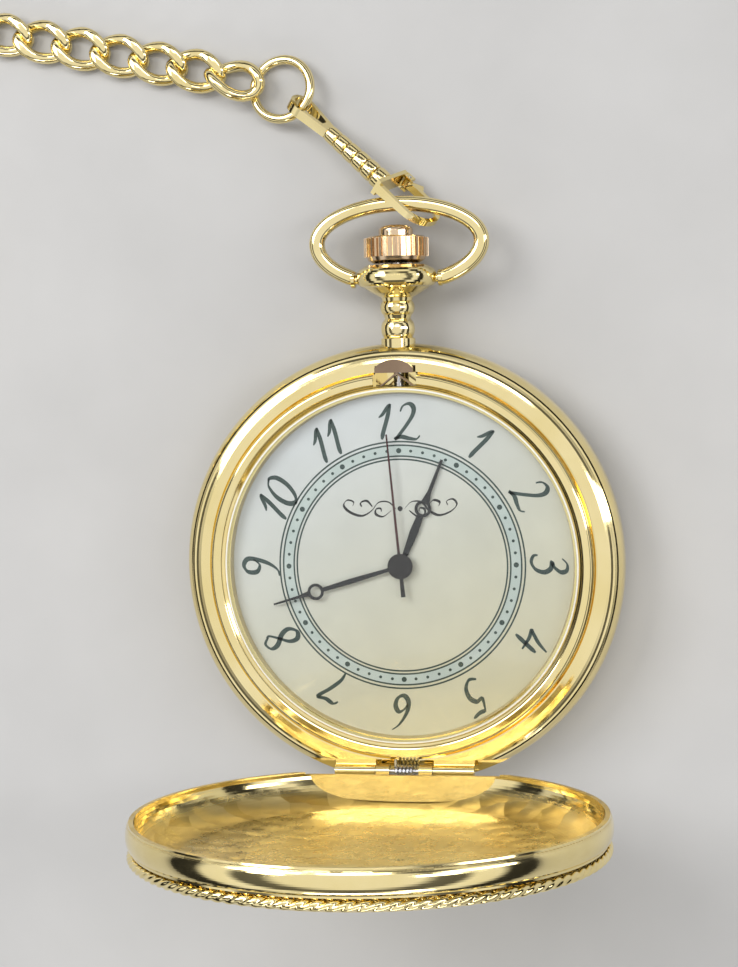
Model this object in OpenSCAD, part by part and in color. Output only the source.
// Hunter pocket watch with its lid open, quartz movement, bow, clasp and curb chain.
// Origin: centre of the flat back that it rests on. +Z: out of the dial. +Y: towards 12 o'clock.

/* [Case] */
// Outside diameter of the case middle
case_d = 49; // [48.6:0.1:49.4]
// Radius of the flat that the watch rests on
rest_r = 17.5; // [16:0.5:18]
// Distance of the hinge flat from the centre
hinge_flat = 21.45; // [21.4:0.01:21.5]

/* [Lid] */
// Outside diameter of the lid
lid_d = 48.2; // [48.1:0.05:48.4]
// Angle between the open lid and the dial
lid_open = 88; // [80:1:95]
// Thickness of the lid's shell
lid_wall = 0.55; // [0.5:0.01:0.6]
// Number of turns of the lid spring
spring_turns = 5; // [4:1:5]

/* [Dial and hands] */
// Thickness of each hand
hand_t = 0.12; // [0.08:0.01:0.14]
// Length of the hour hand
hour_len = 12.6; // [11:0.1:13]
// Length of the minute hand
minute_len = 15; // [14:0.1:17]
// Length of the second hand
second_len = 14.6; // [13:0.1:17]

/* [Pendant, crown and bow] */
// Outside diameter of the knurled crown
crown_d = 7.1; // [6.8:0.1:7.2]
// Number of knurls round the crown
knurls = 36; // [28:1:40]
// Diameter of the push button
button_d = 3.8; // [3.6:0.1:3.9]
// Outside width of the bow
bow_w = 20; // [19.8:0.1:21]
// Thickness of the bow's bar
bow_bar = 1.7; // [1.5:0.05:1.7]

/* [Clasp and chain] */
// Length of the ribbed barrel
barrel_len = 8.8; // [8.6:0.1:8.9]
// Number of ribs on the barrel
barrel_ribs = 6; // [5:1:7]
// Outside diameter of the jump ring
ring_d = 7.8; // [7.7:0.1:7.9]
// Width of the flat curb chain
chain_w = 5; // [4.8:0.1:5]
// Thickness of the flat curb chain
chain_t = 2.1; // [1.9:0.1:2.1]

/* [Hidden] */

GOLD = [0.86, 0.70, 0.36];
STEEL = [0.74, 0.75, 0.77];
BRASS = [0.80, 0.66, 0.38];
ROSE = [0.84, 0.62, 0.42];
BLACK = [0.06, 0.06, 0.06];

// Heights of the stack, from the resting face
case_r = case_d / 2;
lid_r = lid_d / 2;
wall_in = 19.85;      // radius of the case middle's cavity
case_bottom = 1.75;
case_top = 7.6;
seat_z = 6.95;        // seat of the bezel
seat_r = 21.25;
dial_z = 6;
dial_t = 0.4;
dial_r = 19.7;
bezel_r = 21.22;
bezel_flat = -20.72;   // flat that clears the lid as it shuts
crystal_r = 19.4;
bridge_z = 1.5;
bridge_t = 0.5;
plate_z = 4.2;
plate_t = 0.8;
plate_r = 13.3;
stem_z = 4.8;         // height of the axis of the pendant, crown and stem

// Hinge
hinge_y = -22.75;
hinge_z = 7.6;
knuckle_r = 0.75;
hinge_pin_r = 0.35;
half_hinge = 7.75;    // half length of the whole hinge
lid_knuckle = [1.65, 3.15];
case_knuckle_x = 3.25;

// Gear train: positions and pitch radii
P3 = 4.25 * [cos(200), sin(200)];
P5 = 4.5 * [cos(320), sin(320)];
PR = P5 + 3.5 * [cos(290), sin(290)];
PM = [0, 3];
PB = [-7.4, 5.6];     // centre of the battery
pillars = [[5.75, 9.96], [-10.42, -4.86], [9.42, -6.6]];
strap_screw_x = -2.8;
arbor_r = 0.2;
pivot_r = 0.13;

// Times that the hands show, in degrees clockwise from 12
hour_angle = 22.4;
minute_angle = 253.7;
second_angle = 355.3;

// Crown, button and stem along the pendant's axis
stem_r = 0.6;
sleeve_in = 0.68;
sleeve_out = 1.05;
sleeve_y = 22;
pivot_y = 31.55;      // axis that the bow swings on
crown_y = 33.25;
cap_y = 35.8;

// Bow: centreline of an oval, fuller towards the pendant
bow_c = 35.55;
bow_a = (bow_w - bow_bar) / 2;
bow_top = 4.2;
bow_bottom = 4.65;
bow_end_x = 4.75;
bow_lean = 0.3;       // the bow is bent a little fuller on one side

// Clasp: its own axis runs from the bow's bar (0) to the jump ring
clasp_at = [1.3, 39.73, stem_z];
clasp_turn = 136.85;
clasp_dip = 9.2;
loop_end = -1.05;     // centre of the hook's round end
loop_in = 2.15;
loop_out = 2.7;
loop_w = 0.95;
plate_u = 3;
gate_pivot = [2.45, -2.43];
gate_tip_u = -1.5;
barrel_u = plate_u + 0.5;
eye_u = 16.6;
eye_in = 1.15;
eye_out = 1.6;
ring_wire = 0.52;
ring_mid = ring_d / 2 - ring_wire;
ring_dip = 3.8;
hook_roll = -28;      // the hook is rolled about the clasp's axis, and set beside it
hook_side = -0.4;
hook_drop = -0.45;

// Chain: points of the stretch that is laid out, then a round coil
chain_z = chain_t / 2 + 0.05;
ROUTE = [[-17.7, 54.3], [-20, 54.95], [-24, 56], [-28, 56.95], [-32, 57.9], [-36, 58.8], [-40, 59.7],
    [-44, 60.6], [-48, 61.5], [-52, 62.4], [-56, 63.3], [-60, 64.2], [-64, 65.1], [-68, 66], [-72, 66.9]];
coil_at = [-78.58, 37.63];
coil_r = [19.6, 30];   // middle of the chain where the coil ends and where it starts
end_ring_r = 14.6;       // distance of the end ring from the coil's centre
end_ring_mid = 1.9;
end_wire = 0.4;
end_angle = 83.5;
toggle_z = 1.25;

// Points of a superelliptic arc about (rc, zc)
function arc(rc, zc, a, b, t0, t1, n = 12, e = 1) = [for (i = [0:n]) let (t = t0 + (t1 - t0) * i / n)
    [rc + a * sign(cos(t)) * pow(abs(cos(t)), e), zc + b * sign(sin(t)) * pow(abs(sin(t)), e)]];

// Phase in degrees that puts a gap of a follower with n teeth opposite a tooth of its driver
function mesh(teeth, phase, n, dir) =
    let (driver = (dir - phase) * teeth / 360) dir + 180 - (0.5 - (driver - floor(driver))) * 360 / n;

function unit(v) = v / norm(v);

module turned(points) rotate_extrude($fn = 96) polygon(points);
module disc(r, z, h) translate([0, 0, z]) cylinder(r = r, h = h, $fn = 64);
module block(x, y, z) translate([x[0], y[0], z[0]]) cube([x[1] - x[0], y[1] - y[0], z[1] - z[0]]);
module along_x(x) translate([x, 0, 0]) rotate([0, 90, 0]) children();
module along_pendant(y) translate([0, y, stem_z]) rotate([-90, 0, 0]) children();
module at(p) translate([p[0], p[1], 0]) children();
module at_hinge(x) translate([x, hinge_y, hinge_z]) rotate([0, 90, 0]) children();
module at_pivot(x) translate([x, pivot_y, stem_z]) rotate([0, 90, 0]) children();

// A straight spur wheel with trapezoid teeth
module gear(teeth, pitch_r, z, h, phase) {
    m = 2 * pitch_r / teeth;
    tooth = [[-0.3, -1.15], [-0.11, 0.85], [0.11, 0.85], [0.3, -1.15]];
    translate([0, 0, z]) linear_extrude(h)
        polygon([for (i = [0:teeth - 1], p = tooth) let (a = phase + (i + p[0]) * 360 / teeth)
            (pitch_r + p[1] * m) * [cos(a), sin(a)]]);
}

// A round bar swept along points, its section a flattened polygon, w wide and t high
module swept(path, w, t, sides) {
    n = len(path);
    rings = [for (i = [0:n - 1])
        let (d = unit(path[min(i + 1, n - 1)] - path[max(i - 1, 0)]), side = unit(cross([0, 0, 1], d)),
            up = cross(d, side))
        [for (k = [0:sides - 1]) let (a = 360 * (k + 0.5) / sides)
            path[i] + side * w / 2 * cos(a) / cos(180 / sides) + up * t / 2 * sin(a) / cos(180 / sides)]];
    walls = [for (i = [0:n - 2], k = [0:sides - 1]) let (j = (k + 1) % sides)
        [i * sides + k, (i + 1) * sides + k, (i + 1) * sides + j, i * sides + j]];
    polyhedron([for (r = rings) each r],
        concat(walls, [[for (k = [0:sides - 1]) k], [for (k = [sides - 1:-1:0]) (n - 1) * sides + k]]));
}

// A coil spring about +Z with n turns
module helix(r, wire, pitch, n) {
    swept([for (i = [0:14 * n]) let (a = 360 * i / 14) [r * cos(a), r * sin(a), pitch * a / 360]],
        2 * wire, 2 * wire, 6);
}

module case_profile() {
    turned(concat([[wall_in, case_bottom]],
        arc(21.6, 4.3, case_r - 21.6, 3.3, -44.2, 90, 24, 0.72),
        [[21.45, case_top - 0.04], [seat_r, 7.3], [seat_r, seat_z], [wall_in, seat_z]]));
}

module case_middle() {
    notch = 1.6;
    color(GOLD) difference() {
        union() {
            difference() {
                case_profile();
                block([-12, 12], [-25, -hinge_flat], [5.4, 9]);
            }
            for (side = [-1, 1]) {
                x = side > 0 ? case_knuckle_x : -half_hinge;
                at_hinge(x) cylinder(r = knuckle_r, h = half_hinge - case_knuckle_x, $fn = 32);
                block([x, x + half_hinge - case_knuckle_x], [hinge_y, -21.2], [hinge_z - knuckle_r, 7.4]);
            }
        }
        at_hinge(-9) cylinder(r = hinge_pin_r + 0.01, h = 18, $fn = 32);
        block([-notch, notch], [-22, -20.5], [6.2, 9]);
        block([-2.25, 2.25], [19.5, 22.05], [3.2, 9]);
        along_pendant(21) cylinder(r = 1.15, h = 4, $fn = 32);
        along_pendant(22.3) cylinder(r = 1.91, h = 4, $fn = 48);
    }
}

module case_back() {
    color(GOLD) difference() {
        turned(concat([[0, 0]], [for (p = arc(rest_r, 1.7, 23.05 - rest_r, 1.7, -90, 0, 14, 0.9)) p],
            [[19.8, 1.7], [19.8, 2.6], [19.3, 2.6], [19.3, 1.1], [rest_r - 0.1, 0.5], [0, 0.5]]));
        rotate_extrude($fn = 96) translate([19.55, 1.9]) square([1, 0.4]);
    }
}

module back_gasket() {
    color([0.12, 0.12, 0.12]) rotate_extrude($fn = 96) translate([19.57, 1.93]) square([0.26, 0.34]);
}

module bezel() {
    color(GOLD) difference() {
        turned(concat([[bezel_r, 6.97]],
            arc(20.75, 7.75, bezel_r - 20.75, 0.6, 0, 90, 8),
            arc(20.25, 8.05, 0.3, 0.3, 90, 180, 6),
            [[19.62, 7.8], [19.62, 7.47], [19.15, 7.47], [19.15, 6.97]]));
        block([-2.4, 2.4], [19.8, 22], [6.5, 9]);
        block([-9, 9], [-22, bezel_flat], [6.5, 9]);
    }
}

module crystal() {
    dome = [for (i = [0:10]) let (r = crystal_r * (1 - i / 10))
        [r, 8.05 + 0.85 * (1 - pow(r / crystal_r, 2))]];
    hollow = [for (i = [0:10]) let (r = 18.9 * i / 10) [r, 7.48 + 0.62 * (1 - pow(r / 18.9, 2))]];
    color([0.85, 0.9, 0.92, 0.3]) turned(concat([[crystal_r, 7.48]], dome, hollow));
}

module crystal_gasket() {
    color([0.9, 0.9, 0.88, 0.6]) rotate_extrude($fn = 96)
        translate([crystal_r + 0.02, 7.49]) square([0.18, 0.45]);
}

module rehaut_ring() {
    color([0.85, 0.78, 0.62]) turned([[19, 6.42], [dial_r, 6.42], [dial_r, 6.93], [19.2, 6.93]]);
}

module dial() {
    color([0.93, 0.92, 0.87]) difference() {
        disc(dial_r, dial_z, dial_t);
        disc(0.95, dial_z - 1, 3);
    }
}

module movement_ring() {
    color([0.9, 0.9, 0.88]) difference() {
        disc(wall_in - 0.1, 2.7, 3.25);
        disc(plate_r + 0.1, 2, 5);
        block([-1.45, 1.45], [12, 21], [2, 7]);
        block([-2.2, 2.2], [12, 15.5], [2, 7]);
    }
}

module mainplate() {
    color(BRASS) difference() {
        union() {
            disc(plate_r, plate_z, plate_t);
            for (p = pillars) at(p) disc(0.9, bridge_z + bridge_t, plate_z - bridge_z);
            at(PM) disc(0.25, plate_z, 1.7);
            at([3, 12.3]) disc(0.3, plate_z, 1.7);
        }
        block([-1.3, 1.3], [8.6, 14], [4, 6]);
        disc(0.6, 4, 2);
        for (p = [P3, P5, PR]) at(p) disc(0.18, 4, 2);
        for (p = pillars) at(p) disc(0.33, 1.9, 1.6);
    }
}

module train_bridge() {
    color(BRASS) difference() {
        disc(12.9, bridge_z, bridge_t);
        at(PB) disc(3.55, 1, 2);
        block([-5.6, 6.2], [-11.6, -9], [1, 3]);
        for (p = [[0, 0], P3, P5, PR]) at(p) disc(0.18, 1, 2);
        for (p = pillars) at(p) disc(0.36, 1, 2);
        at([strap_screw_x, PB[1]]) disc(0.29, 1, 2);
    }
}

// A slotted cheese-head screw, head down, that goes in upwards from z
module screw(head_r, head_h, shank_r, length, z) {
    difference() {
        union() {
            disc(head_r, z, head_h);
            disc(shank_r, z, head_h + length);
        }
        block([-head_r, head_r], [-0.1, 0.1], [z - 0.1, z + head_h / 2]);
    }
}

module bridge_screws() {
    color(STEEL) for (p = pillars) at(p) screw(0.75, 0.35, 0.32, 1.9, bridge_z - 0.35);
}

module battery() {
    color(STEEL) at(PB) {
        disc(3.4, 1.45, 2.1);
        disc(3, 1.45, 2.6);
    }
}

module battery_strap() {
    color(BRASS) difference() {
        union() {
            block([-11.9, -2.1], [PB[1] - 0.9, PB[1] + 0.9], [1.12, 1.35]);
            block([-3.6, -2.1], [PB[1] - 0.9, PB[1] + 0.9], [1.3, bridge_z]);
            block([-11.4, -11], [PB[1] - 0.4, PB[1] + 0.4], [1.3, bridge_z]);
        }
        at([strap_screw_x, PB[1]]) disc(0.34, 1, 1);
    }
}

module strap_screw() {
    color(STEEL) at([strap_screw_x, PB[1]]) screw(0.55, 0.3, 0.28, 1.1, 0.82);
}

module circuit_board() {
    color([0.1, 0.35, 0.2]) intersection() {
        disc(12.6, 3.95, 0.2);
        block([5.2, 13], [-3.2, 8.6], [3.9, 4.2]);
    }
}

module circuit_chip() {
    color([0.1, 0.1, 0.1]) block([7.4, 9.8], [-0.8, 1.6], [3.25, 3.94]);
}

module quartz_can() {
    color(STEEL) translate([8.6, 2.6, 3.15]) rotate([-90, 0, 0]) cylinder(r = 0.75, h = 5.4, $fn = 32);
}

module coil() {
    color([0.72, 0.4, 0.2]) difference() {
        union() {
            translate([0, -10.4, 3.05]) along_x(-3.6) cylinder(r = 0.92, h = 7.8, $fn = 32);
            for (x = [-3.6, 3.95]) translate([0, -10.4, 3.05]) along_x(x)
                cylinder(r = 1.05, h = 0.25, $fn = 32);
        }
        block([-5, 6], [-10.81, -9.99], [2.84, 3.26]);
    }
}

module coil_core() {
    color(STEEL) block([-5.2, 5.8], [-10.8, -10], [2.85, 3.25]);
}

module stator() {
    color(STEEL) difference() {
        union() {
            block([-5.2, 5.8], [-7.6, -5.75], [2.45, 2.85]);
            block([-5.2, -4], [-11, -7], [2.45, 2.85]);
            block([4.6, 5.8], [-11, -7], [2.45, 2.85]);
            at(PR) disc(2.1, 2.45, 0.4);
        }
        at(PR) disc(1.3, 2, 2);
    }
}

// An arbor with a pivot at each end, in the bridge and in the mainplate
module arbor() {
    disc(arbor_r, 2.05, 2.1);
    disc(pivot_r, 1.65, 3);
}

module rotor() {
    color([0.35, 0.35, 0.38]) at(PR) {
        disc(1, 2.3, 0.75);
        gear(10, 0.5, 3.2, 0.45, mesh(60, 0, 10, 290));
        arbor();
    }
}

module fifth_wheel() {
    color(BRASS) at(P5) {
        gear(60, 3, 3.35, 0.2, 0);
        gear(12, 0.75, 2.15, 0.5, mesh(60, 0, 12, 320));
        arbor();
    }
}

module fourth_wheel() {
    color(BRASS) {
        gear(60, 3.75, 2.3, 0.2, 0);
        gear(8, 0.5, 2.6, 0.5, 0);
        disc(arbor_r, 2.05, 5.32);
        disc(pivot_r, 1.65, 1);
    }
}

module third_wheel() {
    color(BRASS) at(P3) {
        gear(60, 3.75, 2.75, 0.2, mesh(8, 0, 60, 200));
        gear(8, 4.25 / 9, 3.65, 0.4, mesh(64, 0, 8, 200));
        arbor();
    }
}

module centre_wheel() {
    color(BRASS) difference() {
        union() {
            gear(64, 4.25 * 8 / 9, 3.8, 0.2, 0);
            gear(12, 0.75, 5.1, 0.3, 0);
            disc(0.55, 3.8, 3.45);
        }
        disc(0.28, 3, 5);
    }
}

module minute_wheel() {
    color(BRASS) at(PM) difference() {
        union() {
            gear(36, 2.25, 5.15, 0.2, mesh(12, 0, 36, 90));
            gear(12, 0.6, 5.3, 0.5, mesh(48, 0, 12, 90));
        }
        disc(0.29, 5, 2);
    }
}

module hour_wheel() {
    color(BRASS) difference() {
        union() {
            gear(48, 2.4, 5.5, 0.2, 0);
            disc(0.85, 5.5, 1.45);
        }
        disc(0.62, 5, 3);
    }
}

module hand(angle, z) {
    rotate([0, 0, -angle]) translate([0, 0, z]) linear_extrude(hand_t) children();
}

// A hand with a ring: a leaf from the hub to the ring, a shoulder and a thin tip beyond it
module ring_hand(len, ring_at, leaf_w, leaf_root, shoulder, tip_w, hub_r, bore_r) {
    ring_r = 0.92;
    difference() {
        union() {
            circle(r = hub_r, $fn = 48);
            polygon([[-leaf_root / 2, 0], [leaf_root / 2, 0], [leaf_w / 2, ring_at * 0.6],
                [leaf_w * 0.36, ring_at - 0.5], [-leaf_w * 0.36, ring_at - 0.5],
                [-leaf_w / 2, ring_at * 0.6]]);
            translate([0, ring_at]) circle(r = ring_r, $fn = 36);
            polygon([[-shoulder / 2, ring_at + 0.6], [shoulder / 2, ring_at + 0.6],
                [shoulder * 0.4, ring_at + 1.1], [tip_w / 2 + 0.06, ring_at + 2], [tip_w / 2, len],
                [-tip_w / 2, len],
                [-tip_w / 2 - 0.06, ring_at + 2], [-shoulder * 0.4, ring_at + 1.1]]);
        }
        translate([0, ring_at]) circle(r = ring_r - 0.32, $fn = 36);
        circle(r = bore_r, $fn = 36);
    }
}

module hour_hand() {
    color(BLACK) hand(hour_angle, 6.72)
        ring_hand(hour_len, 6.8, 0.95, 0.42, 1, 0.3, 1.3, 0.86);
}

module minute_hand() {
    color(BLACK) hand(minute_angle, 7.02)
        ring_hand(minute_len, 10, 0.6, 0.34, 0.7, 0.2, 1.2, 0.56);
}

module second_hand() {
    z = 7.32;
    color(BLACK) difference() {
        hand(second_angle, z) {
            circle(r = 1.4, $fn = 48);
            polygon([[-0.25, -3.4], [0.25, -3.4], [0.15, 0], [0.09, second_len], [-0.09, second_len],
                [-0.15, 0]]);
        }
        disc(0.21, z - 1, 1 + hand_t / 2);
    }
}

module stem() {
    square_w = 0.72;
    color(STEEL) {
        along_pendant(9) cylinder(r = 0.3, h = 1, $fn = 24);
        translate([-square_w / 2, 9.4, stem_z - square_w / 2]) cube([square_w, 2.8, square_w]);
        along_pendant(12) cylinder(r = stem_r, h = 0.55, $fn = 32);
        along_pendant(12.4) cylinder(r = 0.32, h = 1, $fn = 32);
        along_pendant(13.15) cylinder(r = stem_r, h = crown_y - 13.15, $fn = 32);
        along_pendant(crown_y - 0.1) cylinder(r = 0.49, h = 1.9, $fn = 32);
    }
}

module clutch_wheel() {
    color(STEEL) difference() {
        along_pendant(10) gear(14, 0.85, 0, 1.6, 0);
        translate([-0.4, 9, stem_z - 0.4]) cube([0.8, 4, 0.8]);
    }
}

module setting_lever() {
    color(STEEL) difference() {
        union() {
            at([3, 12.3]) disc(0.7, 5.45, 0.2);
            at([0, 12.85]) disc(0.3, 5.45, 0.2);
            translate([3, 12.3, 5.45]) rotate([0, 0, 169.6]) translate([0, -0.3, 0]) cube([3.05, 0.6, 0.2]);
            at([0, 12.85]) disc(0.18, 5.2, 0.35);
        }
        at([3, 12.3]) disc(0.33, 5, 1);
    }
}

module crown() {
    r = crown_d / 2;
    color(ROSE) difference() {
        union() {
            along_pendant(33.95) linear_extrude(2.05)
                polygon([for (i = [0:knurls - 1], p = [[-0.3, -0.2], [-0.22, 0], [0.22, 0], [0.3, -0.2]])
                    let (a = (i + p[0]) * 360 / knurls) (r + p[1]) * [cos(a), sin(a)]]);
            along_pendant(crown_y) rotate_extrude($fn = 64)
                polygon([[0, 0], [2.5, 0], [3.1, 0.3], [r - 0.25, 0.75], [r - 0.25, 2.8], [r - 0.5, 2.95],
                    [0, 2.95]]);
        }
        along_pendant(34.9) difference() {
            cylinder(r = 2.05, h = 3, $fn = 48);
            cylinder(r = 0.72, h = 0.7, $fn = 32);
        }
        along_pendant(crown_y - 1) cylinder(r = 0.5, h = 2.9, $fn = 32);
        for (side = [-1, 1]) block(side > 0 ? [1.1, 1.85] : [-1.85, -1.1], [30, 36],
            [stem_z - 0.55, stem_z + 0.55]);
    }
}

module push_button() {
    r = button_d / 2;
    color(ROSE) along_pendant(cap_y) rotate_extrude($fn = 48)
        polygon(concat([[1.2, 0], [r, 0]], arc(r - 0.95, 1, 0.95, 0.65, 0, 90, 12),
            [[0, 1.65], [0, 1.25], [1.2, 1.25]]));
}

// The two legs that carry the cap, and the sleeve round the stem that they push
module button_sleeve() {
    color(STEEL) {
        for (side = [-1, 1]) block(side > 0 ? [1.22, 1.75] : [-1.75, -1.22], [32.9, cap_y],
            [stem_z - 0.45, stem_z + 0.45]);
        along_pendant(sleeve_y) difference() {
            union() {
                cylinder(r = sleeve_out, h = 10.8, $fn = 32);
                translate([0, 0, 10.55]) cylinder(r = 1.75, h = 0.45, $fn = 32);
            }
            translate([0, 0, -1]) cylinder(r = sleeve_in, h = 14, $fn = 32);
        }
    }
}

module button_spring() {
    color(STEEL) along_pendant(35.05) helix(0.9, 0.1, 0.48, 4);
}

module latch() {
    color(ROSE) difference() {
        union() {
            block([-2.1, 2.1], [21.3, 21.9], [3.4, 8.5]);
            intersection() {
                block([-2.1, 2.1], [21.3, 22.8], [8.15, 8.75]);
                at([0, 19.85]) disc(2.9, 8, 1);
            }
        }
        along_pendant(20) cylinder(r = 0.66, h = 3, $fn = 32);
    }
}

module latch_spring() {
    color(STEEL) translate([0, 0, 5.7]) linear_extrude(1.1)
        polygon([[-1.9, 19.82], [-1.7, 19.82], [0, 21.1], [1.7, 19.82], [1.9, 19.82], [0.12, 21.24],
            [-0.12, 21.24]]);
}

module pendant() {
    color(GOLD) difference() {
        along_pendant(0) rotate_extrude($fn = 64)
            polygon(concat([[1.12, 22.32], [1.9, 22.32], [1.9, 25]],
                arc(1.45, 26.05, 0.42, 0.95, -70, 70, 10), [[1.42, 27.2]],
                arc(1.4, 28.4, 0.5, 0.85, -70, 60, 10),
                [[1.75, 29.5], [2.7, 30], [3.6, 30.6]],
                arc(3.6, 31.7, 0.86, 1.1, -60, 65, 10),
                [[3.35, 33.05], [2.75, 33.05], [2.6, 32.9], [2.6, 31.4], [1.12, 31.4]]));
        for (side = [-1, 1]) at_pivot(side > 0 ? 3.3 : -5.3) cylinder(r = 0.56, h = 2, $fn = 32);
    }
}

bow_first = -acos((bow_end_x - bow_lean) / bow_a);
bow_last = 180 + acos((bow_end_x + bow_lean) / bow_a);
bow_path = [for (i = [0:56]) let (t = bow_first + (bow_last - bow_first) * i / 56)
    [bow_lean + bow_a * cos(t), bow_c + (sin(t) > 0 ? bow_top : bow_bottom) * sin(t), stem_z]];

module bow() {
    color(GOLD) {
        swept(bow_path, bow_bar, bow_bar, 12);
        for (side = [-1, 1]) {
            at_pivot(side > 0 ? 3.5 : -5.2) cylinder(r = 0.5, h = 1.7, $fn = 32);
            at_pivot(side > 0 ? 4.62 : -5.1) cylinder(r = 0.9, h = 0.48, $fn = 32);
        }
    }
}

// Places what is drawn with the lid shut where it is with the lid open
module opened() {
    translate([0, hinge_y, hinge_z]) rotate([lid_open, 0, 0]) translate([0, -hinge_y, -hinge_z]) children();
}

lid_flat = -21.4;
rim_z = 7.45;

module lid_outside() {
    intersection() {
        turned(concat([[0, rim_z], [lid_r - 0.35, rim_z]], arc(lid_r - 0.6, 8.75, 0.6, 1.3, -60, 60, 14),
            [[lid_r - 0.5, 10], [lid_r - 0.5, 10.2], [lid_r - 1.1, 10.3], [lid_r - 1.1, 11.45]],
            [for (i = [0:12]) let (r = (lid_r - 1.5) * (1 - i / 12)) [r, 12.5 - 0.85 * pow(r / 22.6, 2)]]));
        block([-30, 30], [lid_flat, 30], [0, 20]);
    }
}

module lid_inside() {
    side = 4;
    intersection() {
        turned(concat([[0, 7], [lid_r - 0.85, 7]],
            arc(lid_r - 0.85 - side, 7.6, side, 3.55, 0, 86, 16),
            [for (i = [0:9]) let (r = (lid_r - 1.1 - side) * (1 - i / 9))
                [r, 12.5 - lid_wall - 0.8 * pow(r / 19, 2)]]));
        block([-30, 30], [lid_flat + lid_wall, 30], [0, 20]);
    }
}

module lid() {
    lip_z = 7.6;
    color(GOLD) opened() difference() {
        union() {
            difference() {
                lid_outside();
                lid_inside();
                block([-30, 30], [-25, -20.6], [7, 7.75]);
            }
            for (x = [lid_knuckle[0], -lid_knuckle[1]]) {
                w = lid_knuckle[1] - lid_knuckle[0];
                at_hinge(x) cylinder(r = knuckle_r, h = w, $fn = 32);
                block([x, x + w], [hinge_y, -21.1], [7.75, hinge_z + knuckle_r]);
            }
            intersection() {
                difference() {
                    disc(lid_r - 0.7, lip_z, 0.4);
                    disc(22.15, lip_z - 1, 3);
                }
                block([-2.9, 2.9], [20, 25], [lip_z, lip_z + 0.4]);
            }
        }
        at_hinge(-5) cylinder(r = hinge_pin_r + 0.05, h = 10, $fn = 32);
    }
}

module lid_rope_edge() {
    inner = lid_r - 1.08;
    color(GOLD) opened() intersection() {
        turned(concat([[inner, 10.33]], arc(inner, 10.88, 0.85, 0.55, -80, 80, 12), [[inner, 11.43]]));
        block([-30, 30], [lid_flat, 30], [0, 20]);
    }
}

module hinge_pin() {
    color(STEEL) at_hinge(-7.7) cylinder(r = hinge_pin_r, h = 15.4, $fn = 32);
}

module lid_spring() {
    r = 0.55;
    wire = 0.13;
    turns = spring_turns + 0.25;
    pitch = 2.2 / turns;
    coils = [for (i = [0:12 * turns]) let (a = 30 * i) [r * cos(a), -r * sin(a), pitch * a / 360]];
    color([0.9, 0.9, 0.92]) at_hinge(-1.1)
        swept(concat([[r, 1.2, 0]], coils, [[-0.6, -r, pitch * turns]]), 2 * wire, 2 * wire, 6);
}

// Places what is drawn along +X from the bow's bar where the clasp lies
module clasp_frame() {
    translate(clasp_at) rotate([0, 0, clasp_turn]) rotate([0, clasp_dip, 0]) children();
}

// Places what is drawn along the clasp's axis on its hook
module hook_frame() {
    clasp_frame() translate([0, hook_side, hook_drop]) rotate([hook_roll, 0, 0]) children();
}

// A flat outline in the clasp's upright plane, w wide across it
module upright(w) rotate([90, 0, 0]) linear_extrude(w, center = true) children();

// A strip bent into a hook, narrower towards its tip
module hook() {
    intersection() {
        upright(2) difference() {
            union() {
                translate([loop_end, 0]) circle(r = loop_out, $fn = 64);
                translate([loop_end, -loop_out]) square([plate_u + 0.2 - loop_end, 2 * loop_out]);
            }
            translate([loop_end, 0]) circle(r = loop_in, $fn = 64);
            translate([loop_end, -loop_in]) square([plate_u - loop_end, 2 * loop_in]);
            translate([gate_tip_u - 0.1, -3]) square([plate_u - gate_tip_u + 0.1, 3 - loop_in + 0.1]);
        }
        translate([0, 0, -4]) linear_extrude(8)
            polygon([[-4, -0.3], [-4, 0.3], [plate_u + 1, loop_w / 2 + 0.1],
                [plate_u + 1, -loop_w / 2 - 0.1]]);
    }
}

module clasp_body() {
    rib = barrel_len / barrel_ribs;
    end_u = barrel_u + barrel_len;
    core = 0.7;
    color(GOLD) {
        hook_frame() difference() {
            union() {
                hook();
                block([plate_u, plate_u + 0.5], [-0.95, 0.95], [-loop_out, loop_out]);
                for (v = [-0.85, 0.52]) block([1.95, plate_u + 0.1], [v, v + 0.33], [-2.95, -2]);
            }
            translate([gate_pivot[0], 2, gate_pivot[1]]) rotate([90, 0, 0])
                cylinder(r = 0.2, h = 4, $fn = 24);
        }
        clasp_frame() {
            along_x(barrel_u - 0.1) cylinder(r = core, h = barrel_len + 0.2, $fn = 32);
            for (i = [0:barrel_ribs - 1]) along_x(barrel_u + rib * (i + 0.5)) rotate_extrude($fn = 48)
                polygon(concat([[0, -rib * 0.48]],
                    arc(core, 0, 0.5 - 0.05 * i, rib * 0.48, -90, 90, 10, 0.5), [[0, rib * 0.48]]));
            rotate([hook_roll, 0, 0]) upright(1.1) difference() {
                union() {
                    translate([eye_u, 0]) circle(r = eye_out, $fn = 48);
                    polygon([[end_u, -0.75], [eye_u, -eye_out], [eye_u, eye_out], [end_u, 0.75]]);
                }
                translate([eye_u, 0]) circle(r = eye_in, $fn = 48);
                polygon([[end_u + 1, -0.4], [eye_u, -eye_in], [eye_u, eye_in], [end_u + 1, 0.4]]);
            }
        }
    }
}

module clasp_gate() {
    color(GOLD) hook_frame() upright(0.84) difference() {
        union() {
            translate([gate_tip_u, -loop_out]) square([gate_pivot[0] - gate_tip_u, loop_out - loop_in]);
            translate(gate_pivot) circle(r = 0.45, $fn = 32);
            polygon([[2.2, -2.4], [0.3, -2.4], [0.3, -loop_out], [0.9, -3.6]]);
        }
        translate(gate_pivot) circle(r = 0.24, $fn = 24);
    }
}

module gate_pin() {
    color(STEEL) hook_frame() translate([gate_pivot[0], 0.9, gate_pivot[1]]) rotate([90, 0, 0])
        cylinder(r = 0.19, h = 1.8, $fn = 24);
}

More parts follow.
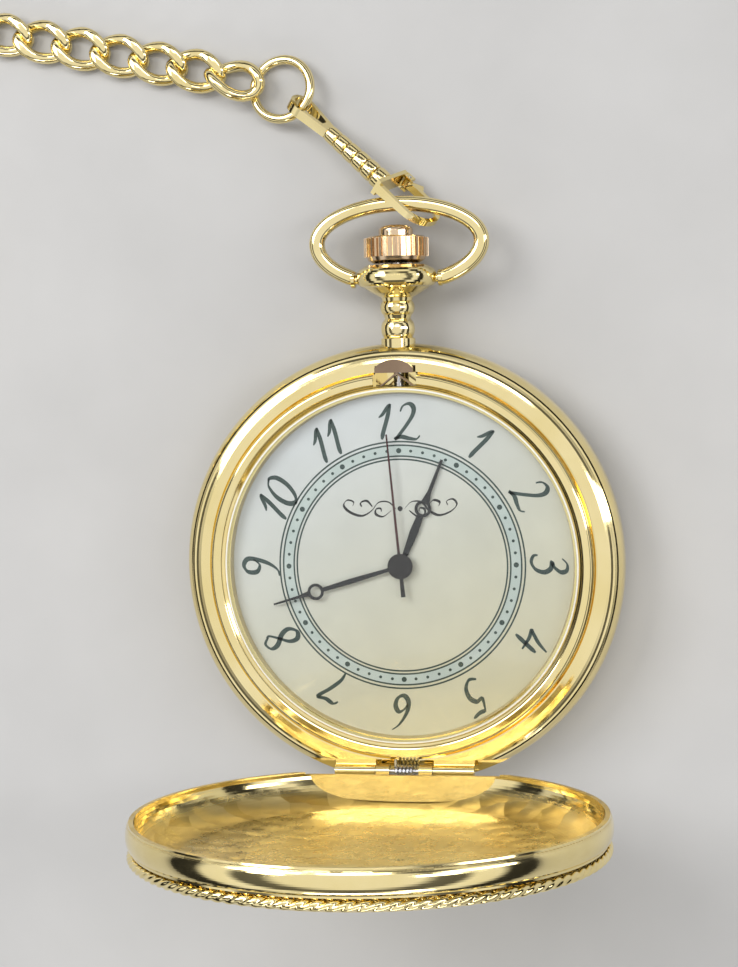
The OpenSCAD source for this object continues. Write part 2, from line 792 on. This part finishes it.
module jump_ring() {
    color(GOLD) clasp_frame() translate([eye_u, 0, 0]) rotate([0, ring_dip, 0]) translate([ring_mid, 0, 0])
        rotate_extrude($fn = 64) translate([ring_mid, 0]) circle(r = ring_wire, $fn = 24);
}

module chain() {
    color(GOLD) swept([for (p = ROUTE) [p[0], p[1], chain_z]], chain_w, chain_t, 8);
}

module chain_coil() {
    inner = coil_r[0] - chain_w / 2;
    outer = coil_r[1] + chain_w / 2;
    color(GOLD) translate([coil_at[0], coil_at[1], chain_z]) rotate_extrude($fn = 96)
        polygon([[inner, -chain_t / 2 + 0.4], [inner + 0.4, -chain_t / 2], [outer - 0.4, -chain_t / 2],
            [outer, -chain_t / 2 + 0.4], [outer, chain_t / 2 - 0.4], [outer - 0.4, chain_t / 2],
            [inner + 0.4, chain_t / 2], [inner, chain_t / 2 - 0.4]]);
}

// Places what is drawn along +X from the coil's centre towards the chain's end
module coil_frame() {
    translate([coil_at[0], coil_at[1], toggle_z]) rotate([0, 0, end_angle]) children();
}

module chain_end_ring() {
    color(GOLD) coil_frame() translate([end_ring_r, 0, 0]) rotate_extrude($fn = 48)
        translate([end_ring_mid, 0]) circle(r = end_wire, $fn = 20);
}

module toggle_bar() {
    hole_x = end_ring_r - end_ring_mid;
    half = 9;
    color(GOLD) coil_frame() {
        translate([hole_x, 0, 0]) rotate([90, 0, 0]) linear_extrude(0.8, center = true) difference() {
            union() {
                circle(r = 1.1, $fn = 32);
                translate([-1.8, -0.5]) square([1.8, 1]);
            }
            circle(r = 0.68, $fn = 32);
        }
        translate([hole_x - 2.1, half, 0]) rotate([90, 0, 0]) rotate_extrude($fn = 32)
            polygon(concat([[0, -0.9]], arc(0, 0, 1.1, 0.9, -60, 50, 8),
                [[0.6, 1], [0.75, half - 1.2], [1.05, half - 0.8], [1.05, half + 0.8], [0.75, half + 1.2],
                    [0.6, 2 * half - 1]],
                arc(0, 2 * half, 1.1, 0.9, -50, 60, 8), [[0, 2 * half + 0.9]]));
    }
}

case_middle();
case_back();
back_gasket();
bezel();
crystal();
crystal_gasket();
rehaut_ring();
dial();
movement_ring();
mainplate();
train_bridge();
bridge_screws();
battery();
battery_strap();
strap_screw();
circuit_board();
circuit_chip();
quartz_can();
coil();
coil_core();
stator();
rotor();
fifth_wheel();
fourth_wheel();
third_wheel();
centre_wheel();
minute_wheel();
hour_wheel();
hour_hand();
minute_hand();
second_hand();
stem();
clutch_wheel();
setting_lever();
crown();
push_button();
button_sleeve();
button_spring();
latch();
latch_spring();
pendant();
bow();
lid();
lid_rope_edge();
hinge_pin();
lid_spring();
clasp_body();
clasp_gate();
gate_pin();
jump_ring();
chain();
chain_coil();
chain_end_ring();
toggle_bar();
